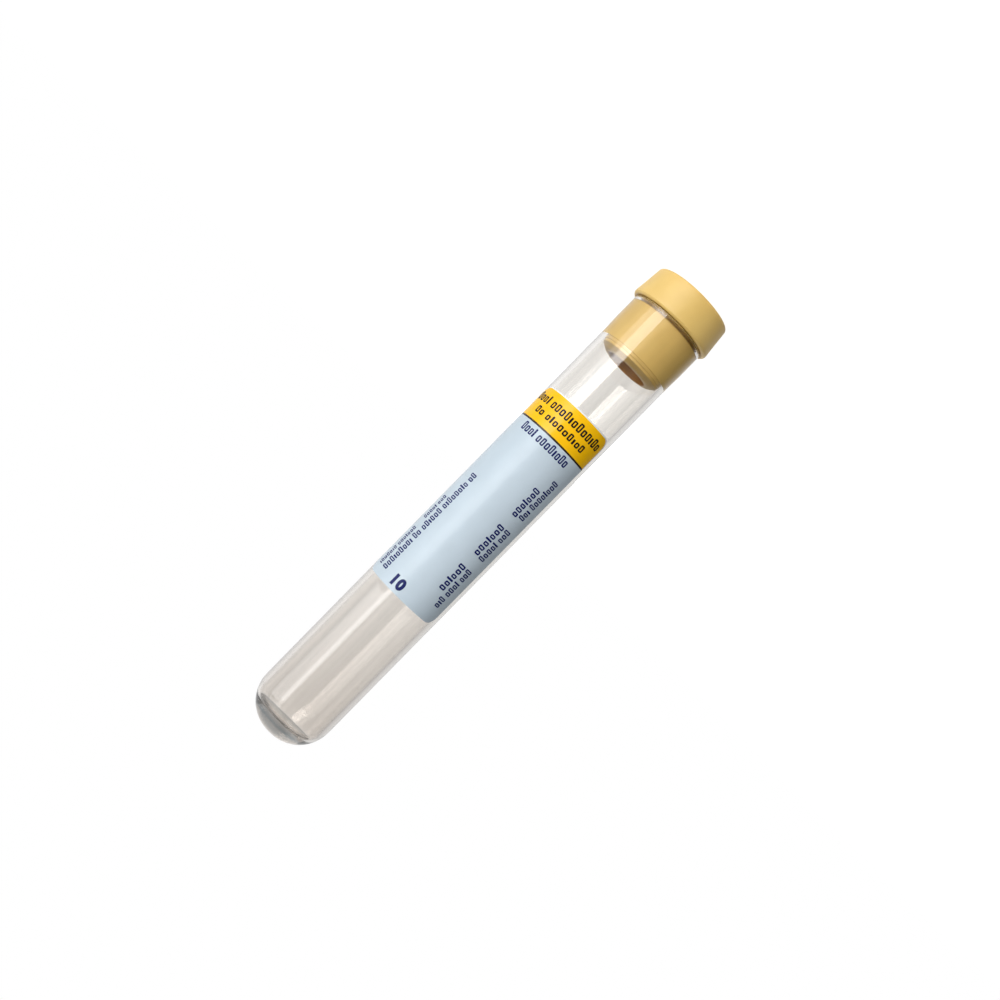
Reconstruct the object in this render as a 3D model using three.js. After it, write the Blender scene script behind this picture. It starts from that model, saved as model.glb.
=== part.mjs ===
// An evacuated blood collection tube: a clear round-bottomed tube, the rubber stopper that closes it and its label.
// Millimetres, +Z up. The tube stands head down on the flat top of its stopper, because it has no other flat end.
// The origin is the centre of that flat face, +Z runs towards the round bottom, and the label faces -Y.

import * as THREE from "three";

const tube = {
  length: 100, // from the mouth to the tip of the round bottom
  mouthRadius: 7.76, // outside, where the plug swells it
  swell: 0.11, // how far the plug swells the mouth, on the radius
  swellEnd: 5.0, // depth at which the full swell ends
  neckDepth: 8.6, // depth at which the tube has its moulded size again
  taper: 0.12, // radius lost from the neck to the round bottom
  wall: 1.0,
  floorWall: 3.75, // thickness under the middle of the flat inner floor
  floorRound: 0.55, // size of the inner floor's round edge, as a share of the bore's radius there
  floorRise: 0.325, // how far that round edge starts past the outside one, as a share of its own size
  knuckleIn: 0.63, // how much tighter the round bottom's edge is than the tube, on the radius
  crownExtra: 2.7, // how much flatter its middle is than its edge, on the radius
};

const stopper = {
  headHeight: 6.42,
  lipOverhang: 0.81, // how far the widest part of the head stands past the mouth
  lipHeight: 0.5,
  lipChamfer: 0.33,
  shoulderIn: 0.12, // from the lip to the start of the tapered side
  shoulderHeight: 0.9,
  headTaper: 0.46, // radius lost from the shoulder to the top
  edgeRadius: 0.45, // round edge of the flat top
  plugLength: 10.8, // from the head to the end of the nose
  sealLength: 8.95, // from the head to the end of the sealing band
  reliefLength: 0.83, // narrow groove between the head and the sealing band
  reliefDepth: 0.35,
  noseIn: 1.75, // how far the rounded nose draws in below the sealing band
  recessRadius: 4.2, // blind hole in the plug
  recessDepth: 8.5,
  wellRadius: 3.2, // needle well in the flat top
  wellDepth: 3.0,
  softEdge: 0.3, // rounding of the well and the recess
};

const label = {
  length: 44.6,
  wrap: 140, // degrees
  fromMouth: 22.4,
  cornerRadius: 2.0,
  thickness: 0.1,
};

const seatClearance = 0.08; // between the mouth's rim and the head
const sealClearance = 0.05; // between the bore and the sealing band, which the real rubber closes
const labelClearance = 0.06; // the label's adhesive

const aroundSegments = 48;
const labelSegments = 20;
const labelCornerSteps = 3;

const mouthHeight = stopper.headHeight + seatClearance;
const neckRadius = tube.mouthRadius - tube.swell;
const footRadius = neckRadius - tube.taper;

// The round bottom: a shallow crown that runs into a tighter knuckle, both tangent, on the wall's radius at the foot.
function roundBottom(wallRadius, crownRadius, knuckleRadius, tipHeight) {
  const knuckleOut = wallRadius - knuckleRadius;
  const crownHeight = tipHeight - crownRadius;
  const knuckleHeight = crownHeight + Math.sqrt((crownRadius - knuckleRadius) ** 2 - knuckleOut ** 2);
  const meeting = Math.atan2(knuckleOut, knuckleHeight - crownHeight);
  return { crownHeight, crownRadius, knuckleHeight, knuckleOut, knuckleRadius, meeting };
}

function arc(centreRadius, centreHeight, radius, fromAngle, toAngle, steps) {
  return Array.from({ length: steps + 1 }, (_, step) => {
    const angle = fromAngle + ((toAngle - fromAngle) * step) / steps;
    return [centreRadius + radius * Math.cos(angle), centreHeight + radius * Math.sin(angle)];
  });
}

function roundBottomPoints(bottom) {
  const { crownHeight, crownRadius, knuckleHeight, knuckleOut, knuckleRadius, meeting } = bottom;
  const knuckle = arc(knuckleOut, knuckleHeight, knuckleRadius, 0, Math.PI / 2 - meeting, 6);
  const crown = arc(0, crownHeight, crownRadius, Math.PI / 2 - meeting, Math.PI / 2, 4);
  return [...knuckle, ...crown.slice(1)];
}

const tipHeight = mouthHeight + tube.length;
const knuckleRadius = footRadius - tube.knuckleIn;
const crownRadius = knuckleRadius + tube.crownExtra;
const outerBottom = roundBottom(footRadius, crownRadius, knuckleRadius, tipHeight);
const footDepth = outerBottom.knuckleHeight - mouthHeight;

// The cavity ends in a flat floor with a large round edge, so that the wall stays about even round the knuckle
// and the bottom is thick in the middle.
function innerFloorPoints() {
  const boreFoot = footRadius - tube.wall;
  const round = boreFoot * tube.floorRound;
  const roundHeight = outerBottom.knuckleHeight + round * tube.floorRise;
  const floorHeight = tipHeight - tube.floorWall;
  const lean = Math.asin((floorHeight - roundHeight) / round);
  return [...arc(boreFoot - round, roundHeight, round, 0, lean, 5), [0, floorHeight]];
}

// The outside radius of the tube at a depth from its mouth.
function outsideRadius(depth) {
  if (depth <= tube.swellEnd) return tube.mouthRadius;
  if (depth <= tube.neckDepth) {
    const share = (depth - tube.swellEnd) / (tube.neckDepth - tube.swellEnd);
    return tube.mouthRadius - tube.swell * share;
  }
  return neckRadius - (tube.taper * (depth - tube.neckDepth)) / (footDepth - tube.neckDepth);
}

function boreRadius(depth) {
  return outsideRadius(depth) - tube.wall;
}

function turned(points) {
  const profile = points.map(([radius, height]) => new THREE.Vector2(radius, height));
  const geometry = new THREE.LatheGeometry(profile, aroundSegments);
  geometry.rotateX(Math.PI / 2);
  return geometry;
}

function tubeGeometry() {
  const rimRadius = tube.wall / 2;
  const rim = arc(tube.mouthRadius - rimRadius, mouthHeight + rimRadius, rimRadius, -Math.PI, 0, 6);
  const wallDepths = [tube.swellEnd, tube.neckDepth];
  const outside = wallDepths.map((depth) => [outsideRadius(depth), mouthHeight + depth]);
  const inside = wallDepths.map((depth) => [boreRadius(depth), mouthHeight + depth]);
  const innerWall = innerFloorPoints().reverse();
  return turned([...innerWall, ...inside.reverse(), ...rim, ...outside, ...roundBottomPoints(outerBottom)]);
}

function stopperGeometry() {
  const lipRadius = tube.mouthRadius + stopper.lipOverhang;
  const lipTop = stopper.headHeight - stopper.lipChamfer;
  const shoulderRadius = lipRadius - stopper.shoulderIn;
  const shoulderLevel = lipTop - stopper.lipHeight - stopper.shoulderHeight;
  const topRadius = shoulderRadius - stopper.headTaper;
  const well = [
    [0, stopper.wellDepth],
    [stopper.wellRadius - stopper.softEdge, stopper.wellDepth],
    [stopper.wellRadius, stopper.wellDepth - stopper.softEdge],
    [stopper.wellRadius, stopper.softEdge],
    [stopper.wellRadius + stopper.softEdge, 0],
  ];
  const edge = arc(topRadius - stopper.edgeRadius, stopper.edgeRadius, stopper.edgeRadius, -Math.PI / 2, 0, 4);
  const lip = [
    [shoulderRadius, shoulderLevel],
    [lipRadius, lipTop - stopper.lipHeight],
    [lipRadius, lipTop],
    [lipRadius - stopper.lipChamfer, stopper.headHeight],
  ];
  const sealStart = stopper.reliefLength + stopper.headHeight;
  const sealEnd = stopper.sealLength + stopper.headHeight;
  const sealRadius = (height) => boreRadius(height - mouthHeight) - sealClearance;
  const reliefRadius = sealRadius(mouthHeight) - stopper.reliefDepth;
  const seal = [
    [reliefRadius, stopper.headHeight],
    [reliefRadius, sealStart - stopper.reliefDepth],
    [sealRadius(sealStart), sealStart],
    [sealRadius(mouthHeight + tube.swellEnd), mouthHeight + tube.swellEnd],
    [sealRadius(mouthHeight + tube.neckDepth), mouthHeight + tube.neckDepth],
    [sealRadius(sealEnd), sealEnd],
  ];
  const noseHeight = stopper.plugLength - stopper.sealLength;
  const noseEnd = stopper.headHeight + stopper.plugLength;
  const nose = Array.from({ length: 3 }, (_, step) => {
    const angle = (Math.PI / 2) * ((step + 1) / 4);
    const drawnIn = stopper.noseIn * (1 - Math.cos(angle));
    return [sealRadius(sealEnd) - drawnIn, sealEnd + noseHeight * Math.sin(angle)];
  });
  const recess = [
    [stopper.recessRadius + stopper.softEdge, noseEnd],
    [stopper.recessRadius, noseEnd - stopper.softEdge],
    [stopper.recessRadius, noseEnd - stopper.recessDepth + stopper.softEdge],
    [stopper.recessRadius - stopper.softEdge, noseEnd - stopper.recessDepth],
    [0, noseEnd - stopper.recessDepth],
  ];
  return turned([...well, ...edge, ...lip, ...seal, ...nose, ...recess]);
}

// The label is a thin box whose rows narrow to round corners and whose columns are bent round the tube.
function labelGeometry() {
  const rows = 2 * labelCornerSteps + 2;
  const geometry = new THREE.BoxGeometry(2, 2, 2, labelSegments, rows - 1, 1);
  const place = geometry.attributes.position;
  const straight = label.length / 2 - label.cornerRadius;
  const middleDepth = label.fromMouth + label.length / 2;
  for (let index = 0; index < place.count; index += 1) {
    const row = Math.round(((place.getY(index) + 1) / 2) * (rows - 1));
    const side = row <= labelCornerSteps ? -1 : 1;
    const cornerStep = side < 0 ? labelCornerSteps - row : row - labelCornerSteps - 1;
    const cornerAngle = ((Math.PI / 2) * cornerStep) / labelCornerSteps;
    const depth = middleDepth + side * (straight + label.cornerRadius * Math.sin(cornerAngle));
    const skinRadius = outsideRadius(depth) + labelClearance;
    const narrowed = (label.cornerRadius * (1 - Math.cos(cornerAngle))) / skinRadius;
    const halfWrap = THREE.MathUtils.degToRad(label.wrap / 2) - narrowed;
    const around = halfWrap * place.getX(index);
    const radius = skinRadius + (place.getZ(index) > 0 ? label.thickness : 0);
    place.setXYZ(index, radius * Math.sin(around), -radius * Math.cos(around), mouthHeight + depth);
  }
  return geometry;
}

function piece(name, geometry, look) {
  const mesh = new THREE.Mesh(geometry, new THREE.MeshStandardMaterial({ metalness: 0, ...look }));
  mesh.name = name;
  return mesh;
}

const collectionTube = new THREE.Group();
collectionTube.add(
  piece("stopper", stopperGeometry(), { color: 0xdcb96a, roughness: 0.62 }),
  piece("tube", tubeGeometry(), { color: 0xe8e4df, roughness: 0.08, transparent: true, opacity: 0.35 }),
  piece("label", labelGeometry(), { color: 0xcadae4, roughness: 0.45 }),
);

export default collectionTube;
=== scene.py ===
import math

import bmesh
import bpy
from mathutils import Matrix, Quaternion, Vector


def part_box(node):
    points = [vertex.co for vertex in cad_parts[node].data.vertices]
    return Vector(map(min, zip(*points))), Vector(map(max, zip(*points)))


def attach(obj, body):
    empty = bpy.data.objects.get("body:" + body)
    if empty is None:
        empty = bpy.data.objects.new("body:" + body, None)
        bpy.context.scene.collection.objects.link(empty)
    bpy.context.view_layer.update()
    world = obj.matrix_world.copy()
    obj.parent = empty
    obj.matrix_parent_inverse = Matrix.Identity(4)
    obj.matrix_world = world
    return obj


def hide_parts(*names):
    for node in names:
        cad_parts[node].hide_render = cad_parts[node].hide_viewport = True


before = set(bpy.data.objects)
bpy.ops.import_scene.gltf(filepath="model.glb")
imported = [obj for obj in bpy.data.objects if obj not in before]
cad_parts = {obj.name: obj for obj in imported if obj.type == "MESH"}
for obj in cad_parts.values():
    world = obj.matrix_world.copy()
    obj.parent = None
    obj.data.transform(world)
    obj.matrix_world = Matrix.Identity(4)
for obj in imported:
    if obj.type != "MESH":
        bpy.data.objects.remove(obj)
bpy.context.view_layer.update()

mm = 0.001

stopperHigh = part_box("stopper")[1]
tubeLow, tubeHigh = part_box("tube")
labelLow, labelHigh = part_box("label")


viewpoint = {
    "distance": 229.33 * mm,  # from the tube's axis
    "azimuth": -7.0,  # degrees round from the front
    "height": 54.9 * mm,
    "aim": (-0.36 * mm, 0.04 * mm, 49.32 * mm),
    "roll": -135.5,
    "lens": 46.8,
    "sensor": 36.0,
    "nearest": 0.01,
}


def pointAround(distance, azimuth, height):
    turned = math.radians(azimuth)
    return Vector((distance * math.sin(turned), -distance * math.cos(turned), height))


def addObject(name, data):
    made = bpy.data.objects.new(name, data)
    bpy.context.scene.collection.objects.link(made)
    return made


def makeCamera():
    lens = bpy.data.cameras.new("camera")
    lens.lens = viewpoint["lens"]
    lens.sensor_width = viewpoint["sensor"]
    lens.clip_start = viewpoint["nearest"]
    camera = addObject("camera", lens)
    camera.location = pointAround(viewpoint["distance"], viewpoint["azimuth"], viewpoint["height"])
    look = (Vector(viewpoint["aim"]) - camera.location).to_track_quat("-Z", "Y")
    roll = Quaternion((0, 0, 1), math.radians(viewpoint["roll"]))
    camera.rotation_euler = (look @ roll).to_euler()
    bpy.context.scene.camera = camera


makeCamera()
bpy.context.scene.view_settings.view_transform = "Standard"

studio = {
    "lampDistance": 0.5,
    # degrees round from the front, width, height, where its middle is in height, radiance, and
    # whether anything mirrors it
    "lamps": {
        "key": (29.5, 0.277, 0.54, -0.155, 4.2, True),
        "side": (54.0, 0.16, 0.54, -0.155, 1.45, True),
        "upper": (28.0, 0.12, 0.13, 0.18, 2.4, True),
        "wide": (47.0, 0.4, 0.2, 0.22, 1.5, True),
        "fill": (9.0, 0.4, 0.5, 0.05, 1.2, False),
        "back": (187.0, 0.3, 0.5, 0.05, 3.4, False),
    },
    "cardGain": 1.6,  # how much brighter a lamp is mirrored inside a clear wall
    "ambient": 0.03,
    "ambientFront": 0.8,
    # what a reflection shows of the surroundings: in front, and how much more to +X and to the back
    "mirroredFront": 0.30,
    "mirroredSide": 0.8,
    "mirroredBack": 1.1,
    "mirroredLeast": 0.04,
    "mirroredFacing": 0.30,  # how much more than the least it is toward the front
    "mirroredSteep": 0.45,  # how much more it is far above and below
    "steepFrom": (0.3, 0.75),
    "steepColour": (0.62, 0.68, 0.72, 1),
    "mirroredBehind": 0.8,  # share left straight behind, which only the outline of the glass shows
    "behindFrom": (0.72, 0.95),  # how straight behind that is
    "floorSize": 4.0,
    "floorDrop": 0.05 * mm,
    "floorColour": (0.86, 0.86, 0.86, 1),
    "floorGlow": 1.58,
    "floorGlowShare": 0.6,
}


def node(tree, kind, **settings):
    made = tree.nodes.new(kind)
    for name, value in settings.items():
        setattr(made, name, value)
    return made


# a socket gets a fixed value or another node's output
def feed(tree, socket, value):
    if hasattr(value, "links"):
        tree.links.new(value, socket)
    else:
        socket.default_value = value


def calculate(tree, operation, first, second=None, third=None, clamp=False):
    made = node(tree, "ShaderNodeMath", operation=operation, use_clamp=clamp)
    for place, value in enumerate((first, second, third)):
        if value is not None:
            feed(tree, made.inputs[place], value)
    return made.outputs[0]


def mixValues(tree, share, first, second):
    made = node(tree, "ShaderNodeMix", data_type="FLOAT")
    for name, value in (("Factor", share), ("A", first), ("B", second)):
        feed(tree, made.inputs[name], value)
    return made.outputs["Result"]


def mixColours(tree, share, first, second, blend="MIX"):
    made = node(tree, "ShaderNodeMix", data_type="RGBA", blend_type=blend)
    for name, value in (("Factor", share), ("A", first), ("B", second)):
        feed(tree, made.inputs[name], value)
    return made.outputs["Result"]


def mixShaders(tree, share, first, second):
    made = node(tree, "ShaderNodeMixShader")
    for place, value in enumerate((share, first, second)):
        feed(tree, made.inputs[place], value)
    return made.outputs[0]


def greyOf(tree, value):
    made = node(tree, "ShaderNodeCombineColor")
    for name in ("Red", "Green", "Blue"):
        tree.links.new(value, made.inputs[name])
    return made.outputs[0]


def partsOf(tree, vector):
    made = node(tree, "ShaderNodeSeparateXYZ")
    tree.links.new(vector, made.inputs[0])
    return made.outputs["X"], made.outputs["Y"], made.outputs["Z"]


# maps one stretch of values to another, and holds its ends outside it
def spread(tree, value, fromLow, fromHigh, toLow=0.0, toHigh=1.0, smooth=False):
    made = node(tree, "ShaderNodeMapRange", clamp=True)
    made.interpolation_type = "SMOOTHSTEP" if smooth else "LINEAR"
    tree.links.new(value, made.inputs["Value"])
    for name, number in (
        ("From Min", fromLow), ("From Max", fromHigh), ("To Min", toLow), ("To Max", toHigh),
    ):
        made.inputs[name].default_value = number
    return made.outputs["Result"]


def spreadMm(tree, value, stretch, toLow=0.0, toHigh=1.0):
    low, high = stretch
    return spread(tree, value, low * mm, high * mm, toLow, toHigh)


# the emptied node tree of a material or the world, with its output
def bareTree(owner):
    owner.use_nodes = True
    tree = owner.node_tree
    tree.nodes.clear()
    isWorld = isinstance(owner, bpy.types.World)
    return tree, node(tree, "ShaderNodeOutputWorld" if isWorld else "ShaderNodeOutputMaterial")


def makeWorld():
    world = bpy.data.worlds.new("studio")
    bpy.context.scene.world = world
    tree, output = bareTree(world)
    ray = node(tree, "ShaderNodeLightPath")
    x, y, z = partsOf(tree, node(tree, "ShaderNodeTexCoord").outputs["Generated"])
    # matt surfaces get a soft light, stronger from the front and the back than from the sides
    frontal = calculate(tree, "MULTIPLY", y, y)
    soft = calculate(tree, "MULTIPLY_ADD", frontal, studio["ambientFront"], studio["ambient"])
    steep = spread(tree, calculate(tree, "ABSOLUTE", z), *studio["steepFrom"], smooth=True)
    sideways = calculate(tree, "MULTIPLY_ADD", x, studio["mirroredSide"], studio["mirroredFront"])
    behind = calculate(tree, "MAXIMUM", y, 0.0)
    mirrored = calculate(tree, "MULTIPLY_ADD", behind, studio["mirroredBack"], sideways, clamp=True)
    facing = calculate(tree, "MINIMUM", y, 0.0)
    least = calculate(tree, "MULTIPLY_ADD", facing, -studio["mirroredFacing"], studio["mirroredLeast"])
    mirrored = calculate(tree, "MAXIMUM", mirrored, least)
    straight = spread(tree, y, *studio["behindFrom"], 1.0, studio["mirroredBehind"], smooth=True)
    mirrored = calculate(tree, "MULTIPLY", mirrored, straight)
    mirrored = calculate(tree, "MULTIPLY_ADD", steep, studio["mirroredSteep"], mirrored, clamp=True)
    # seen straight or through clear walls it is white, a little darker and bluer far above and below
    white = mixColours(tree, steep, (1, 1, 1, 1), studio["steepColour"])
    firstHit = calculate(tree, "LESS_THAN", ray.outputs["Diffuse Depth"], 0.5)
    transmitted = ray.outputs["Is Transmission Ray"]
    untransmitted = calculate(tree, "SUBTRACT", 1.0, transmitted)
    mirror = calculate(tree, "MULTIPLY", ray.outputs["Is Glossy Ray"], untransmitted)
    reflected = calculate(tree, "MAXIMUM", mirror, ray.outputs["Glossy Depth"], clamp=True)
    reflected = calculate(tree, "MULTIPLY", reflected, firstHit)
    strength = mixValues(tree, reflected, soft, mirrored)
    through = calculate(tree, "MULTIPLY", transmitted, firstHit)
    through = calculate(tree, "MULTIPLY", through, calculate(tree, "SUBTRACT", 1.0, reflected))
    colour = mixColours(tree, through, greyOf(tree, strength), white)
    colour = mixColours(tree, ray.outputs["Is Camera Ray"], colour, (1, 1, 1, 1))
    background = node(tree, "ShaderNodeBackground")
    tree.links.new(colour, background.inputs["Color"])
    tree.links.new(background.outputs[0], output.inputs["Surface"])


def makeFloor():
    shape = bmesh.new()
    bmesh.ops.create_grid(shape, x_segments=1, y_segments=1, size=studio["floorSize"] / 2)
    for vert in shape.verts:
        vert.co.z = -studio["floorDrop"]
    mesh = bpy.data.meshes.new("floor")
    shape.to_mesh(mesh)
    shape.free()
    floor = addObject("floor", mesh)
    floor.visible_glossy = False
    floor.visible_transmission = False
    floor.visible_shadow = False
    material = bpy.data.materials.new("floorPaper")
    tree, output = bareTree(material)
    ray = node(tree, "ShaderNodeLightPath")
    seen = calculate(tree, "MAXIMUM", ray.outputs["Is Camera Ray"], ray.outputs["Is Glossy Ray"])
    seen = calculate(tree, "MAXIMUM", seen, ray.outputs["Is Transmission Ray"])
    share = calculate(tree, "MULTIPLY", seen, studio["floorGlowShare"])
    paper = node(tree, "ShaderNodeBsdfDiffuse")
    paper.inputs["Color"].default_value = studio["floorColour"]
    glow = node(tree, "ShaderNodeEmission")
    glow.inputs["Strength"].default_value = studio["floorGlow"]
    both = mixShaders(tree, share, paper.outputs[0], glow.outputs[0])
    # from below it isn't there
    below = node(tree, "ShaderNodeNewGeometry").outputs["Backfacing"]
    nothing = node(tree, "ShaderNodeBsdfTransparent")
    both = mixShaders(tree, below, both, nothing.outputs[0])
    tree.links.new(both, output.inputs["Surface"])
    mesh.materials.append(material)


def makeLamp(name, azimuth, width, height, middle, radiance):
    lamp = bpy.data.lights.new(name, "AREA")
    lamp.shape = "RECTANGLE"
    lamp.size = width
    lamp.size_y = height
    lamp.energy = radiance * math.pi * width * height
    holder = addObject(name, lamp)
    holder.location = pointAround(studio["lampDistance"], azimuth, middle)
    inward = Vector((0, 0, middle)) - holder.location
    holder.rotation_euler = inward.to_track_quat("-Z", "Y").to_euler()
    holder.visible_camera = False
    holder.visible_transmission = False
    return holder


# what the inner faces of a clear wall mirror; straight through the wall it isn't seen
def makeCard(name, lamp, width, height, radiance):
    shape = bmesh.new()
    bmesh.ops.create_grid(shape, x_segments=1, y_segments=1, size=0.5)
    bmesh.ops.scale(shape, vec=(width, height, 1), verts=shape.verts)
    mesh = bpy.data.meshes.new(name)
    shape.to_mesh(mesh)
    shape.free()
    card = addObject(name, mesh)
    card.location = lamp.location
    card.rotation_euler = lamp.rotation_euler
    card.visible_camera = False
    card.visible_diffuse = False
    card.visible_glossy = False
    card.visible_shadow = False
    material = bpy.data.materials.new(name)
    tree, output = bareTree(material)
    material.cycles.emission_sampling = "NONE"
    ray = node(tree, "ShaderNodeLightPath")
    mirrored = calculate(tree, "GREATER_THAN", ray.outputs["Glossy Depth"], 0.5)
    firstHit = calculate(tree, "LESS_THAN", ray.outputs["Diffuse Depth"], 0.5)
    mirrored = calculate(tree, "MULTIPLY", mirrored, firstHit)
    glow = node(tree, "ShaderNodeEmission")
    glow.inputs["Strength"].default_value = radiance
    nothing = node(tree, "ShaderNodeBsdfTransparent")
    both = mixShaders(tree, mirrored, nothing.outputs[0], glow.outputs[0])
    tree.links.new(both, output.inputs["Surface"])
    mesh.materials.append(material)


makeWorld()
makeFloor()
for name, (azimuth, width, height, middle, radiance, mirrored) in studio["lamps"].items():
    lamp = makeLamp(name + "Lamp", azimuth, width, height, middle, radiance)
    lamp.visible_glossy = mirrored
    if mirrored:
        makeCard(name + "Card", lamp, width, height, radiance * studio["cardGain"])
print("stage made")


# a turned piece is a bare outline in the XZ plane, spun round the Z axis
def startLine(shape, radius, height):
    return bmesh.ops.create_vert(shape, co=(radius, 0, height))["vert"][0]


def lineTo(shape, end, radius, height):
    added = bmesh.ops.extrude_vert_indiv(shape, verts=[end])["verts"][0]
    added.co = (radius, 0, height)
    return added


def arcTo(shape, end, centreRadius, centreHeight, degrees, steps):
    swept = bmesh.ops.spin(
        shape, geom=[end], cent=(centreRadius, 0, centreHeight), axis=(0, 1, 0),
        angle=math.radians(degrees), steps=steps, use_duplicate=False,
    )
    return next(item for item in swept["geom_last"] if isinstance(item, bmesh.types.BMVert))


def roundCorner(shape, corners, size, segments=5):
    rounded = bmesh.ops.bevel(
        shape, geom=corners, offset=size, offset_type="OFFSET", segments=segments,
        profile=0.5, affect="VERTICES", material=-1,
    )
    return rounded["verts"]


# a point near each end of a long line keeps the smooth shading flat between them
def holdEnds(shape, longer, near):
    for edge in [edge for edge in shape.edges if edge.calc_length() > longer]:
        first, second = edge.verts
        length = edge.calc_length()
        rest, middle = bmesh.utils.edge_split(edge, first, near / length)
        rest = next(item for item in middle.link_edges if second in item.verts)
        bmesh.utils.edge_split(rest, second, near / rest.calc_length())


def spinRound(shape, steps):
    bmesh.ops.spin(
        shape, geom=shape.verts[:] + shape.edges[:], cent=(0, 0, 0), axis=(0, 0, 1),
        angle=2 * math.pi, steps=steps, use_merge=True, use_duplicate=False,
    )
    bmesh.ops.remove_doubles(shape, verts=shape.verts[:], dist=1e-7)
    bmesh.ops.recalc_face_normals(shape, faces=shape.faces[:])


def finishPiece(shape, name, materials, smooth=True):
    mesh = bpy.data.meshes.new(name)
    shape.to_mesh(mesh)
    shape.free()
    for material in materials:
        mesh.materials.append(material)
    for face in mesh.polygons:
        face.use_smooth = smooth
    return addObject(name, mesh)


def startGroup(name, inputs, outputs):
    tree = bpy.data.node_groups.new(name, "ShaderNodeTree")
    for socket, kind, value in inputs:
        made = tree.interface.new_socket(socket, in_out="INPUT", socket_type=kind)
        if value is not None:
            made.default_value = value
    for socket, kind in outputs:
        tree.interface.new_socket(socket, in_out="OUTPUT", socket_type=kind)
    return tree, node(tree, "NodeGroupInput"), node(tree, "NodeGroupOutput")


def makeGrain():
    tree, given, result = startGroup(
        "fineGrain",
        [
            ("Vector", "NodeSocketVector", None),
            ("Scale", "NodeSocketFloat", 4000.0),
            ("Broad Scale", "NodeSocketFloat", 300.0),
            ("Detail", "NodeSocketFloat", 4.0),
            ("Height", "NodeSocketFloat", 0.00001),
        ],
        [("Fine", "NodeSocketFloat"), ("Broad", "NodeSocketFloat"), ("Normal", "NodeSocketVector")],
    )
    fine = node(tree, "ShaderNodeTexNoise")
    fine.inputs["Roughness"].default_value = 0.6
    broad = node(tree, "ShaderNodeTexNoise")
    broad.inputs["Detail"].default_value = 3
    bump = node(tree, "ShaderNodeBump")
    bump.inputs["Strength"].default_value = 1.0
    tree.links.new(given.outputs["Vector"], fine.inputs["Vector"])
    tree.links.new(given.outputs["Vector"], broad.inputs["Vector"])
    tree.links.new(given.outputs["Scale"], fine.inputs["Scale"])
    tree.links.new(given.outputs["Broad Scale"], broad.inputs["Scale"])
    tree.links.new(given.outputs["Detail"], fine.inputs["Detail"])
    tree.links.new(fine.outputs["Fac"], bump.inputs["Height"])
    tree.links.new(given.outputs["Height"], bump.inputs["Distance"])
    tree.links.new(fine.outputs["Fac"], result.inputs["Fine"])
    tree.links.new(broad.outputs["Fac"], result.inputs["Broad"])
    tree.links.new(bump.outputs["Normal"], result.inputs["Normal"])
    return tree


fineGrain = makeGrain()
mostNoise = (0.3, 0.7)  # nearly all of the grain's noise lies in here
middleNoise = (0.35, 0.65)


def startMaterial(name):
    material = bpy.data.materials.new(name)
    tree, output = bareTree(material)
    shader = node(tree, "ShaderNodeBsdfPrincipled")
    tree.links.new(shader.outputs[0], output.inputs["Surface"])
    return material, tree, shader, output


def placeGrain(tree, vector, scale, broadScale, height, detail=4.0):
    grain = node(tree, "ShaderNodeGroup", node_tree=fineGrain)
    tree.links.new(vector, grain.inputs["Vector"])
    grain.inputs["Scale"].default_value = scale
    grain.inputs["Broad Scale"].default_value = broadScale
    grain.inputs["Height"].default_value = height
    grain.inputs["Detail"].default_value = detail
    return grain


# sizes in mm; each name that ends in Edge is how far a corner is rounded
stopper = {
    "wellRadius": 3.2, "wellDepth": 3.0, "wellFloorEdge": 0.4, "wellEdge": 0.35,
    "topRadius": 7.99, "topEdge": 0.5,
    "shoulderRadius": 8.45, "shoulderHeight": 4.69, "shoulderEdge": 0.25,
    "lipStart": 5.59, "lipEnd": 6.09, "lipChamfer": 0.33, "lipEdge": 0.1,
    "reliefRadius": 6.41, "reliefEnd": 6.9, "reliefEdge": 0.08,
    "bandStart": 7.25, "bandEnd": 15.37, "bandInto": 0.02, "bandEdge": 0.06,
    "ringSteps": ((15.95, 0.14), (16.45, 0.30)),  # height, and how far in from the band
    "ringCut": 0.17, "ringRise": 0.02, "ringInnerEdge": 0.03, "ringEdge": 0.05,
    "noseEnd": 17.22, "noseRadius": 5.0, "noseEdge": 0.45,
    "recessRadius": 4.2, "recessDepth": 8.5, "recessMouthEdge": 0.2, "recessEdge": 0.4,
    "steps": 160, "longLine": 0.7, "holdAt": 0.12,
    "colour": (0.765, 0.52, 0.142, 1),
    "deepColour": (0.735, 0.49, 0.127, 1),
    "grain": (5200.0, 260.0, 0.000012),  # fine and broad scale, and height in metres
    # painted shade where the rubber lies in shadow, in the recess, on the nose's end and in the groove
    # under the head: radii and heights between which each colour fades in
    "insideColour": (0.34, 0.135, 0.002, 1), "recessShadeRadii": (4.35, 4.7), "recessShadeHeights": (8.0, 8.4),
    "noseShadeColour": (0.53, 0.33, 0.055, 1), "noseShadeHeights": (16.35, 16.6),
    "grooveShadeColour": (0.30, 0.16, 0.006, 1), "grooveShadeRadii": (7.8, 8.15),
    "grooveShadeFrom": (5.9, 6.15), "grooveShadeTo": (7.1, 7.4),
    "headHeights": (6.2, 6.8),  # the head ends here
    "roughness": 0.38, "headRoughness": 0.55, "roughnessVaries": 0.06,
    "shine": 0.5, "ior": 1.6,
    "headCoat": 0.9, "coatRoughness": 0.55,
}

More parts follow.
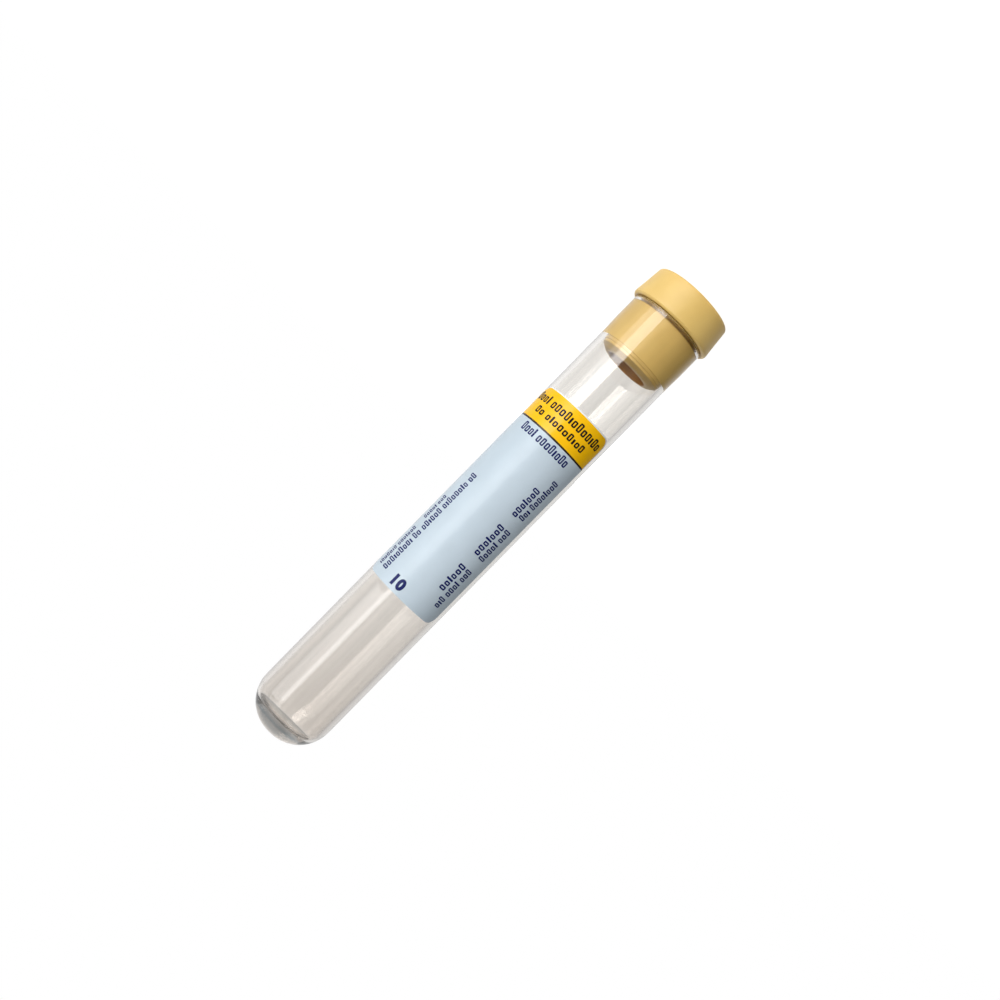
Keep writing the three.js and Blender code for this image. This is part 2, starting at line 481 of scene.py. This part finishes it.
# sizes in mm
tubeShape = {
    "wall": 1.0,
    "swell": 0.11, "swellEnd": 5.0, "neckDepth": 8.6,  # wider at the mouth, and how far down it ends
    "taper": 0.12,
    "mouthInner": 0.4, "mouthOuter": 0.15,  # how round the mouth's two edges are
    "knuckleIn": 0.63, "crownExtra": 2.7,  # the round bottom's tighter edge and flatter crown
    "floorWall": 3.75, "floorEdge": 0.2, "insideKnuckle": 3.59, "insideRise": 1.17,
    "steps": 160, "longLine": 1.2, "holdAt": 0.25,
    "mouthSteps": 7, "insideSteps": 12, "knuckleSteps": 14, "crownSteps": 8,
}
mouthRadius = tubeHigh.x / mm
mouthHeight = tubeLow.z / mm
tipHeight = tubeHigh.z / mm
neckRadius = mouthRadius - tubeShape["swell"]
footRadius = neckRadius - tubeShape["taper"]


def roundBottom(wallRadius, crownRadius, knuckleRadius, tip):
    knuckleOut = wallRadius - knuckleRadius
    crownHeight = tip - crownRadius
    knuckleHeight = crownHeight + math.sqrt((crownRadius - knuckleRadius) ** 2 - knuckleOut ** 2)
    meeting = math.degrees(math.atan2(knuckleOut, knuckleHeight - crownHeight))
    return crownHeight, knuckleOut, knuckleHeight, meeting


knuckleRadius = footRadius - tubeShape["knuckleIn"]
crownRadius = knuckleRadius + tubeShape["crownExtra"]
footHeight = roundBottom(footRadius, crownRadius, knuckleRadius, tipHeight)[2]


def outsideRadius(height):
    depth = height - mouthHeight
    if depth <= tubeShape["swellEnd"]:
        return mouthRadius
    if depth <= tubeShape["neckDepth"]:
        share = (depth - tubeShape["swellEnd"]) / (tubeShape["neckDepth"] - tubeShape["swellEnd"])
        return mouthRadius - tubeShape["swell"] * share
    share = (depth - tubeShape["neckDepth"]) / (footHeight - mouthHeight - tubeShape["neckDepth"])
    return neckRadius - tubeShape["taper"] * share


def rubberMaterial():
    r = stopper
    material, tree, shader, output = startMaterial("stopperRubber")
    place = node(tree, "ShaderNodeTexCoord").outputs["Object"]
    grain = placeGrain(tree, place, *r["grain"])
    mottled = spread(tree, grain.outputs["Broad"], *middleNoise)
    colour = mixColours(tree, mottled, r["deepColour"], r["colour"])
    x, y, z = partsOf(tree, place)
    flatPlace = node(tree, "ShaderNodeCombineXYZ")
    tree.links.new(x, flatPlace.inputs["X"])
    tree.links.new(y, flatPlace.inputs["Y"])
    fromAxis = node(tree, "ShaderNodeVectorMath", operation="LENGTH")
    tree.links.new(flatPlace.outputs[0], fromAxis.inputs[0])
    radius = fromAxis.outputs["Value"]
    # painted shade inside the recess
    inside = calculate(
        tree, "MULTIPLY",
        spreadMm(tree, radius, r["recessShadeRadii"], 1.0, 0.0), spreadMm(tree, z, r["recessShadeHeights"]),
    )
    colour = mixColours(tree, inside, colour, r["insideColour"])
    # painted shade on the nose's end
    noseShade = spreadMm(tree, z, r["noseShadeHeights"])
    noseShade = calculate(tree, "MULTIPLY", noseShade, calculate(tree, "SUBTRACT", 1.0, inside))
    colour = mixColours(tree, noseShade, colour, r["noseShadeColour"])
    # painted shade in the groove under the head and on the lip's underside
    hollow = spreadMm(tree, radius, r["grooveShadeRadii"], 1.0, 0.0)
    grooveShade = calculate(
        tree, "MULTIPLY",
        spreadMm(tree, z, r["grooveShadeFrom"]), spreadMm(tree, z, r["grooveShadeTo"], 1.0, 0.0),
    )
    grooveShade = calculate(tree, "MULTIPLY", grooveShade, hollow)
    colour = mixColours(tree, grooveShade, colour, r["grooveShadeColour"])
    tree.links.new(colour, shader.inputs["Base Color"])
    shader.inputs["Specular IOR Level"].default_value = r["shine"]
    shader.inputs["IOR"].default_value = r["ior"]
    head = spreadMm(tree, z, r["headHeights"], 1.0, 0.0)
    tree.links.new(calculate(tree, "MULTIPLY", head, r["headCoat"]), shader.inputs["Coat Weight"])
    shader.inputs["Coat Roughness"].default_value = r["coatRoughness"]
    varies = r["roughnessVaries"]
    varied = spread(tree, grain.outputs["Fine"], *mostNoise, -varies, varies)
    rough = mixValues(tree, head, r["roughness"], r["headRoughness"])
    tree.links.new(calculate(tree, "ADD", varied, rough), shader.inputs["Roughness"])
    tree.links.new(grain.outputs["Normal"], shader.inputs["Normal"])
    return material


def makeStopper():
    s = stopper
    lipRadius = stopperHigh.x / mm
    seatHeight = s["lipEnd"] + s["lipChamfer"]
    recessFloor = s["noseEnd"] - s["recessDepth"]
    swellHeight = mouthHeight + tubeShape["swellEnd"]
    neckHeight = mouthHeight + tubeShape["neckDepth"]

    def bandRadius(height):
        return outsideRadius(height) - tubeShape["wall"] + s["bandInto"]

    # radius, height and rounding of each corner, from the well to the recess
    corners = [
        (s["wellRadius"], s["wellDepth"], s["wellFloorEdge"]),
        (s["wellRadius"], 0, s["wellEdge"]),
        (s["topRadius"], 0, s["topEdge"]),
        (s["shoulderRadius"], s["shoulderHeight"], s["shoulderEdge"]),
        (lipRadius, s["lipStart"], s["lipEdge"]),
        (lipRadius, s["lipEnd"], s["lipEdge"]),
        (lipRadius - s["lipChamfer"], seatHeight, s["lipEdge"]),
        (s["reliefRadius"], seatHeight, s["lipEdge"]),
        (s["reliefRadius"], s["reliefEnd"], s["reliefEdge"]),
        (bandRadius(s["bandStart"]), s["bandStart"], s["reliefEdge"]),
        (bandRadius(swellHeight), swellHeight, 0),
        (bandRadius(neckHeight), neckHeight, 0),
        (bandRadius(s["bandEnd"]), s["bandEnd"], s["bandEdge"]),
    ]
    lastRadius, lastHeight = bandRadius(s["bandEnd"]), s["bandEnd"]
    for height, stepIn in s["ringSteps"]:
        corners.append((lastRadius - s["ringCut"], lastHeight + s["ringRise"], s["ringInnerEdge"]))
        lastRadius, lastHeight = bandRadius(s["bandEnd"]) - stepIn, height
        corners.append((lastRadius, lastHeight, s["ringEdge"]))
    corners += [
        (s["noseRadius"], s["noseEnd"], s["noseEdge"]),
        (s["recessRadius"], s["noseEnd"], s["recessMouthEdge"]),
        (s["recessRadius"], recessFloor, s["recessEdge"]),
    ]
    shape = bmesh.new()
    end = startLine(shape, 0, s["wellDepth"] * mm)
    made = []
    for radius, height, rounding in corners:
        end = lineTo(shape, end, radius * mm, height * mm)
        made.append((end, rounding))
    lineTo(shape, end, 0, recessFloor * mm)
    for corner, rounding in made:
        if rounding:
            roundCorner(shape, [corner], rounding * mm)
    holdEnds(shape, s["longLine"] * mm, s["holdAt"] * mm)
    spinRound(shape, s["steps"])
    piece = finishPiece(shape, "stopperBody", [rubberMaterial()])
    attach(piece, "stopper")
    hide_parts("stopper")
    return piece


makeStopper()
print("stopper made")


clearWall = {
    "tint": (0.99, 0.975, 0.95, 1),
    # painted shade: the clear wall is tinted darker towards the round bottom
    "footShadeTint": (0.855, 0.822, 0.788, 1), "footShadeHeights": (45.0, 102.0),  # fades in between these, in mm
    "lightTint": (0.965, 0.955, 0.945, 1),  # what lamp light keeps at each surface on its way in
    "ior": 1.55,
    "roughness": 0.02,
    "absorbColour": (0.80, 0.76, 0.72, 1),
    "absorbDensity": 120.0,
    # painted shade in the thick bottom, rings tinted grey and blue-grey: distance from the tip in mm and
    # colour
    "bottomShadeTints": (
        (3.9, (1.0, 1.0, 1.0, 1)),
        (3.3, (0.62, 0.64, 0.66, 1)),
        (2.75, (0.29, 0.37, 0.43, 1)),
        (2.2, (0.75, 0.72, 0.70, 1)),
        (0.6, (1.0, 0.95, 0.90, 1)),
    ),
    "drawnOut": 0.04,  # waves and streaks run along the tube
    "waves": (260.0, 1500.0, 0.0000006, 0.0),  # fine and broad scale, height in metres, detail
    "fineStreakDepth": 0.025,
    "streakScale": 330.0, "streakDetail": 1.5, "streakDepth": 0.09, "streakFrom": (0.36, 0.6),
}


def clearMaterial():
    w = clearWall
    material, tree, shader, output = startMaterial("clearWall")
    place = node(tree, "ShaderNodeTexCoord").outputs["Object"]
    drawn = node(tree, "ShaderNodeMapping")
    drawn.inputs["Scale"].default_value = (1, 1, w["drawnOut"])
    tree.links.new(place, drawn.inputs["Vector"])
    wave = placeGrain(tree, drawn.outputs["Vector"], *w["waves"])
    height = partsOf(tree, place)[2]
    # painted shade, darker towards the round bottom
    footShade = spreadMm(tree, height, w["footShadeHeights"])
    tint = mixColours(tree, footShade, w["tint"], w["footShadeTint"])
    # painted shade in rings across the thick bottom
    reach = w["bottomShadeTints"][0][0]
    bands = node(tree, "ShaderNodeValToRGB")
    tree.links.new(spreadMm(tree, height, (tipHeight - reach, tipHeight)), bands.inputs["Fac"])
    stops = bands.color_ramp.elements
    while len(stops) < len(w["bottomShadeTints"]):
        stops.new(0.5)
    for stop, (distance, colour) in zip(stops, w["bottomShadeTints"]):
        stop.position = 1 - distance / reach
        stop.color = colour
    tint = mixColours(tree, 1.0, tint, bands.outputs["Color"], "MULTIPLY")
    wide = node(tree, "ShaderNodeTexNoise")
    wide.inputs["Scale"].default_value = w["streakScale"]
    wide.inputs["Detail"].default_value = w["streakDetail"]
    tree.links.new(drawn.outputs["Vector"], wide.inputs["Vector"])
    darkest = 1 - w["fineStreakDepth"]
    fineStreaks = spread(tree, wave.outputs["Broad"], *middleNoise, darkest, 1.0)
    darkest = 1 - w["streakDepth"]
    wideStreaks = spread(tree, wide.outputs["Fac"], *w["streakFrom"], darkest, 1.0, smooth=True)
    streaks = calculate(tree, "MULTIPLY", fineStreaks, wideStreaks)
    tint = mixColours(tree, 1.0, tint, greyOf(tree, streaks), "MULTIPLY")
    tree.links.new(tint, shader.inputs["Base Color"])
    shader.inputs["Transmission Weight"].default_value = 1.0
    shader.inputs["IOR"].default_value = w["ior"]
    shader.inputs["Roughness"].default_value = w["roughness"]
    tree.links.new(wave.outputs["Normal"], shader.inputs["Normal"])
    absorb = node(tree, "ShaderNodeVolumeAbsorption")
    absorb.inputs["Color"].default_value = w["absorbColour"]
    absorb.inputs["Density"].default_value = w["absorbDensity"]
    tree.links.new(absorb.outputs[0], output.inputs["Volume"])
    # lamp light goes straight in to the plug and the label's back
    ray = node(tree, "ShaderNodeLightPath")
    lighting = calculate(tree, "MAXIMUM", ray.outputs["Is Shadow Ray"], ray.outputs["Is Diffuse Ray"])
    letThrough = node(tree, "ShaderNodeBsdfTransparent")
    letThrough.inputs["Color"].default_value = w["lightTint"]
    both = mixShaders(tree, lighting, shader.outputs[0], letThrough.outputs[0])
    tree.links.new(both, output.inputs["Surface"])
    return material


def makeTube():
    t = tubeShape
    wall = t["wall"]
    neckHeight = mouthHeight + t["neckDepth"]
    swellHeight = mouthHeight + t["swellEnd"]
    floorHeight = tipHeight - t["floorWall"]
    inside = t["insideKnuckle"]
    turnIn = footRadius - wall - inside
    turnHeight = footHeight + t["insideRise"]
    lean = math.asin((floorHeight - turnHeight) / inside)
    inner, outer, steps = t["mouthInner"], t["mouthOuter"], t["mouthSteps"]
    crownHeight, knuckleOut, knuckleHeight, meeting = roundBottom(
        footRadius, crownRadius, knuckleRadius, tipHeight,
    )
    shape = bmesh.new()
    # the inner face, from the middle of the floor to the mouth
    end = startLine(shape, 0, floorHeight * mm)
    corner = end = lineTo(shape, end, (turnIn + inside * math.cos(lean)) * mm, floorHeight * mm)
    end = arcTo(shape, end, turnIn * mm, turnHeight * mm, math.degrees(lean), t["insideSteps"])
    end = lineTo(shape, end, (neckRadius - wall) * mm, neckHeight * mm)
    end = lineTo(shape, end, (mouthRadius - wall) * mm, swellHeight * mm)
    end = lineTo(shape, end, (mouthRadius - wall) * mm, (mouthHeight + inner) * mm)
    # the mouth
    end = arcTo(shape, end, (mouthRadius - wall + inner) * mm, (mouthHeight + inner) * mm, -90, steps)
    end = lineTo(shape, end, (mouthRadius - outer) * mm, mouthHeight * mm)
    end = arcTo(shape, end, (mouthRadius - outer) * mm, (mouthHeight + outer) * mm, -90, steps)
    # the outer face and the round bottom
    end = lineTo(shape, end, mouthRadius * mm, swellHeight * mm)
    end = lineTo(shape, end, neckRadius * mm, neckHeight * mm)
    end = lineTo(shape, end, footRadius * mm, footHeight * mm)
    end = arcTo(shape, end, knuckleOut * mm, knuckleHeight * mm, meeting - 90, t["knuckleSteps"])
    arcTo(shape, end, 0, crownHeight * mm, -meeting, t["crownSteps"])
    roundCorner(shape, [corner], t["floorEdge"] * mm)
    holdEnds(shape, t["longLine"] * mm, t["holdAt"] * mm)
    spinRound(shape, t["steps"])
    piece = finishPiece(shape, "tubeShell", [clearMaterial()])
    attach(piece, "tube")
    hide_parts("tube")
    return piece


makeTube()
print("tube made")


# sizes in mm
label = {
    "wrap": 140.0, "cornerRadius": 2.0, "cornerSteps": 10, "sunk": 0.01, "thickness": 0.13,
    "strips": 48, "cutsAlong": (-0.8, -0.4, 0, 0.4, 0.8), "sharpAngle": 40,
    "bandHeight": 6.8, "lineHeight": 0.35, "border": 0.25,
    "paper": (0.55, 0.643, 0.715, 1),
    "band": (1.0, 0.55, 0.0, 1),
    "line": (0.03, 0.02, 0.01, 1),
    "edge": (0.85, 0.88, 0.90, 1),
    "grain": (3800.0, 220.0, 0.000003),  # fine and broad scale, and height in metres
    "fadeDepth": 0.04,
    "roughness": 0.2, "roughnessVaries": 0.05, "shine": 0.3,
    "backing": (0.70, 0.73, 0.75, 1), "backingPale": (0.78, 0.81, 0.83, 1),
    "backingGrain": (3000.0, 180.0, 0.000003), "backingRoughness": 0.6,
}
labelLength = (labelHigh.z - labelLow.z) / mm
labelMiddle = (labelHigh.z + labelLow.z) / 2 / mm
labelHalfWidth = math.radians(label["wrap"] / 2) * mouthRadius
flatUnit = 100  # the label's flat map is laid out in units of this many mm


def cutAcross(shape, point, normal):
    bmesh.ops.bisect_plane(
        shape, geom=shape.verts[:] + shape.edges[:] + shape.faces[:],
        plane_co=point, plane_no=normal, dist=1e-8,
    )


def cutStrips(shape, halfWidth, step):
    cut = -halfWidth + step
    while cut < halfWidth - step / 4:
        cutAcross(shape, (cut, 0, 0), (1, 0, 0))
        cut += step


# thickens flat faces outward and gives back the corners and faces of the top
def raiseFaces(shape):
    raised = bmesh.ops.extrude_face_region(shape, geom=shape.faces[:], use_keep_orig=True)["geom"]
    topVerts = {item for item in raised if isinstance(item, bmesh.types.BMVert)}
    topFaces = {item for item in raised if isinstance(item, bmesh.types.BMFace)}
    return topVerts, topFaces


# moves a corner of a flat sheet to its place round the tube, lifted off the wall
def wrapRound(vert, lift):
    around = vert.co.x / (mouthRadius * mm)
    radius = (outsideRadius(vert.co.z / mm) + lift) * mm
    vert.co = (radius * math.sin(around), -radius * math.cos(around), vert.co.z)


def labelMaterial():
    material, tree, shader, output = startMaterial("labelPaper")
    flat = node(tree, "ShaderNodeUVMap", uv_map="flat").outputs["UV"]
    across, along = partsOf(tree, flat)[:2]
    place = node(tree, "ShaderNodeTexCoord").outputs["Object"]
    grain = placeGrain(tree, place, *label["grain"])
    # how far inside the label's rounded outline a point is
    corner = label["cornerRadius"]
    squares = []
    for value, half in ((across, labelHalfWidth), (along, labelLength / 2)):
        out = calculate(tree, "SUBTRACT", calculate(tree, "ABSOLUTE", value), (half - corner) / flatUnit)
        out = calculate(tree, "MAXIMUM", out, 0.0)
        squares.append(calculate(tree, "MULTIPLY", out, out))
    out = calculate(tree, "SQRT", calculate(tree, "ADD", *squares))
    inside = calculate(tree, "SUBTRACT", corner / flatUnit, out)
    bandEdge = (-labelLength / 2 + label["bandHeight"]) / flatUnit
    inBand = calculate(tree, "LESS_THAN", along, bandEdge)
    fromEdge = calculate(tree, "ABSOLUTE", calculate(tree, "SUBTRACT", along, bandEdge))
    inLine = calculate(tree, "LESS_THAN", fromEdge, label["lineHeight"] / 2 / flatUnit)
    inBorder = calculate(tree, "LESS_THAN", inside, label["border"] / flatUnit)
    inBorder = calculate(tree, "MULTIPLY", inBorder, inBand)
    fade = spread(tree, grain.outputs["Broad"], *mostNoise, 1 - label["fadeDepth"], 1.0)
    colour = mixColours(tree, inBand, label["paper"], label["band"])
    colour = mixColours(tree, inLine, colour, label["line"])
    colour = mixColours(tree, inBorder, colour, label["edge"])
    colour = mixColours(tree, 1.0, colour, greyOf(tree, fade), "MULTIPLY")
    tree.links.new(colour, shader.inputs["Base Color"])
    varies = label["roughnessVaries"]
    least, most = label["roughness"] - varies, label["roughness"] + varies
    rough = spread(tree, grain.outputs["Fine"], *mostNoise, least, most)
    tree.links.new(rough, shader.inputs["Roughness"])
    shader.inputs["Specular IOR Level"].default_value = label["shine"]
    tree.links.new(grain.outputs["Normal"], shader.inputs["Normal"])
    return material


def backingMaterial():
    material, tree, shader, output = startMaterial("labelBacking")
    place = node(tree, "ShaderNodeTexCoord").outputs["Object"]
    grain = placeGrain(tree, place, *label["backingGrain"])
    mottled = spread(tree, grain.outputs["Broad"], *mostNoise)
    colour = mixColours(tree, mottled, label["backing"], label["backingPale"])
    tree.links.new(colour, shader.inputs["Base Color"])
    shader.inputs["Roughness"].default_value = label["backingRoughness"]
    tree.links.new(grain.outputs["Normal"], shader.inputs["Normal"])
    return material


def makeLabel():
    halfWide = labelHalfWidth * mm
    halfLong = labelLength / 2 * mm
    shape = bmesh.new()
    bmesh.ops.create_grid(shape, x_segments=1, y_segments=1, size=1)
    for vert in shape.verts:
        vert.co = (vert.co.x * halfWide, 0, vert.co.y * halfLong)
    roundCorner(shape, shape.verts[:], label["cornerRadius"] * mm, label["cornerSteps"])
    cutStrips(shape, halfWide, halfWide / label["strips"])
    for share in label["cutsAlong"]:
        cutAcross(shape, (0, 0, share * halfLong), (0, 0, 1))
    bmesh.ops.recalc_face_normals(shape, faces=shape.faces[:])
    front = shape.faces[:]
    if front[0].normal.y > 0:
        bmesh.ops.reverse_faces(shape, faces=front)
    flat = shape.loops.layers.uv.new("flat")
    topVerts, topFaces = raiseFaces(shape)
    for face in shape.faces:
        face.material_index = 0 if face in topFaces else 1
        for loop in face.loops:
            loop[flat].uv = (loop.vert.co.x / (flatUnit * mm), loop.vert.co.z / (flatUnit * mm))
    for vert in shape.verts:
        vert.co.z += labelMiddle * mm
        wrapRound(vert, label["thickness"] if vert in topVerts else -label["sunk"])
    bmesh.ops.recalc_face_normals(shape, faces=shape.faces[:])
    piece = finishPiece(shape, "labelSheet", [labelMaterial(), backingMaterial()])
    piece.data.set_sharp_from_angle(angle=math.radians(label["sharpAngle"]))
    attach(piece, "tube")
    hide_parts("label")
    return piece


# sizes in mm
labelPrint = {
    "navyInk": (0.004, 0.009, 0.105, 1),
    "blackInk": (0.008, 0.006, 0.004, 1),
    "grain": (6000.0, 900.0, 0.000002),  # fine and broad scale, and height in metres
    "thinInk": 0.008, "thinFrom": (0.35, 0.75),  # how much paler thin ink is, and from which noise
    "roughness": 0.2, "roughnessVaries": 0.12, "shine": 0.15,
    "rise": 0.022, "sunk": 0.03,
    "halfWidth": 9.2, "strip": 0.4,
    "number": "10", "numberSize": 2.75, "numberAt": (2.85, 72.6),
    "numberBold": 0.06, "numberSpacing": 1.12, "numberSteps": 6,
    # plain letter-sized blocks: their heights, widths, strokes and gaps as shares of the letter
    # height or of the pitch
    "talls": (1.0, 0.74, 0.74, 1.0, 0.74, 0.86, 0.74),
    "wides": (0.76, 0.8, 0.72, 0.36, 0.76),
    "stroke": 0.21, "strokeMost": 0.35, "solidUnder": 0.5, "rounding": 0.3,
    "letterGap": 0.24, "wordGap": 0.5,
    # where each line starts across and in height, letter height, pitch, ink, letters in each word
    "rows": (
        (8.9, 32.0, 1.75, 1.13, 1, (4, 12)),
        (6.3, 34.15, 1.4, 1.16, 1, (2, 9)),
        (5.75, 38.0, 1.7, 0.98, 0, (4, 8)),
    ),
    "columns": (
        (4.95, 49.3, 1.55, 0.835, 0, (2, 8, 6, 2, 9)),
        (7.1, 55.5, 1.2, 0.66, 0, (3, 5)),
        (7.1, 63.0, 1.2, 0.66, 0, (7, 7)),
        (-5.6, 43.7, 1.45, 0.95, 0, (7,)),
        (-5.6, 52.4, 1.45, 1.03, 0, (7,)),
        (-5.6, 61.8, 1.45, 1.05, 0, (6,)),
        (-7.45, 40.6, 1.5, 0.84, 0, (8, 3)),
        (-7.45, 52.3, 1.5, 0.88, 0, (3, 5)),
        (-7.45, 61.8, 1.5, 0.85, 0, (3, 4, 3)),
    ),
}


def inkMaterial(name):
    colour = labelPrint[name]
    material, tree, shader, output = startMaterial(name)
    place = node(tree, "ShaderNodeTexCoord").outputs["Object"]
    grain = placeGrain(tree, place, *labelPrint["grain"])
    thin = tuple(value + labelPrint["thinInk"] for value in colour[:3]) + (1,)
    patchy = spread(tree, grain.outputs["Broad"], *labelPrint["thinFrom"])
    tree.links.new(mixColours(tree, patchy, colour, thin), shader.inputs["Base Color"])
    least = labelPrint["roughness"]
    most = least + labelPrint["roughnessVaries"]
    rough = spread(tree, grain.outputs["Fine"], *mostNoise, least, most)
    tree.links.new(rough, shader.inputs["Roughness"])
    shader.inputs["Specular IOR Level"].default_value = labelPrint["shine"]
    tree.links.new(grain.outputs["Normal"], shader.inputs["Normal"])
    return material


# a solid bar, or a ring when it has a stroke
def addBlock(shape, across, height, wide, tall, ink, stroke):
    corners = bmesh.ops.create_grid(shape, x_segments=1, y_segments=1, size=0.5)["verts"]
    for vert in corners:
        vert.co = ((across + vert.co.x * wide) * mm, 0, (height + vert.co.y * tall) * mm)
    rounded = roundCorner(shape, corners, labelPrint["rounding"] * min(wide, tall) * mm, 3)
    face = rounded[0].link_faces[0]
    face.material_index = ink
    if stroke:
        bmesh.ops.inset_individual(shape, faces=[face], thickness=stroke * mm, use_even_offset=True)
        bmesh.ops.delete(shape, geom=[face], context="FACES_ONLY")


def layWords(shape, across, height, size, pitch, ink, words, along):
    p = labelPrint
    travel = 0.0
    count = 0
    for letters in words:
        for letter in range(letters):
            tall = size * p["talls"][count % len(p["talls"])]
            wide = pitch * p["wides"][count % len(p["wides"])]
            stroke = 0
            if wide > p["solidUnder"] * pitch:
                stroke = min(p["stroke"] * size, p["strokeMost"] * wide)
            middle = travel + wide / 2
            if along:
                addBlock(shape, across + tall / 2, height + middle, tall, wide, ink, stroke)
            else:
                addBlock(shape, across - middle, height - tall / 2, wide, tall, ink, stroke)
            travel += wide + p["letterGap"] * pitch
            count += 1
        travel += p["wordGap"] * pitch


def addNumber(shape):
    curve = bpy.data.curves.new("capacity", "FONT")
    curve.body = labelPrint["number"]
    curve.size = labelPrint["numberSize"] * mm
    curve.offset = labelPrint["numberBold"] * labelPrint["numberSize"] * mm
    curve.space_character = labelPrint["numberSpacing"]
    curve.resolution_u = labelPrint["numberSteps"]
    holder = addObject("capacity", curve)
    bpy.context.view_layer.update()
    flat = bpy.data.meshes.new_from_object(holder.evaluated_get(bpy.context.evaluated_depsgraph_get()))
    across, height = labelPrint["numberAt"]
    before = set(shape.verts)
    shape.from_mesh(flat)
    added = [vert for vert in shape.verts if vert not in before]
    bmesh.ops.remove_doubles(shape, verts=added, dist=1e-7)
    for vert in shape.verts:
        if vert not in before:
            vert.co = (across * mm - vert.co.x, 0, height * mm - vert.co.y)
    bpy.data.objects.remove(holder)
    bpy.data.curves.remove(curve)
    bpy.data.meshes.remove(flat)


def makePrint():
    p = labelPrint
    shape = bmesh.new()
    for row in p["rows"]:
        layWords(shape, *row, along=False)
    for column in p["columns"]:
        layWords(shape, *column, along=True)
    addNumber(shape)
    cutStrips(shape, p["halfWidth"] * mm, p["strip"] * mm)
    bmesh.ops.recalc_face_normals(shape, faces=shape.faces[:])
    for face in shape.faces:
        if face.normal.y > 0:
            face.normal_flip()
    topVerts, topFaces = raiseFaces(shape)
    for vert in shape.verts:
        wrapRound(vert, label["thickness"] + (p["rise"] if vert in topVerts else -p["sunk"]))
    bmesh.ops.recalc_face_normals(shape, faces=shape.faces[:])
    inks = [inkMaterial("navyInk"), inkMaterial("blackInk")]
    piece = finishPiece(shape, "labelPrint", inks, smooth=False)
    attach(piece, "tube")
    return piece


makeLabel()
print("label made")
makePrint()
print("print made")
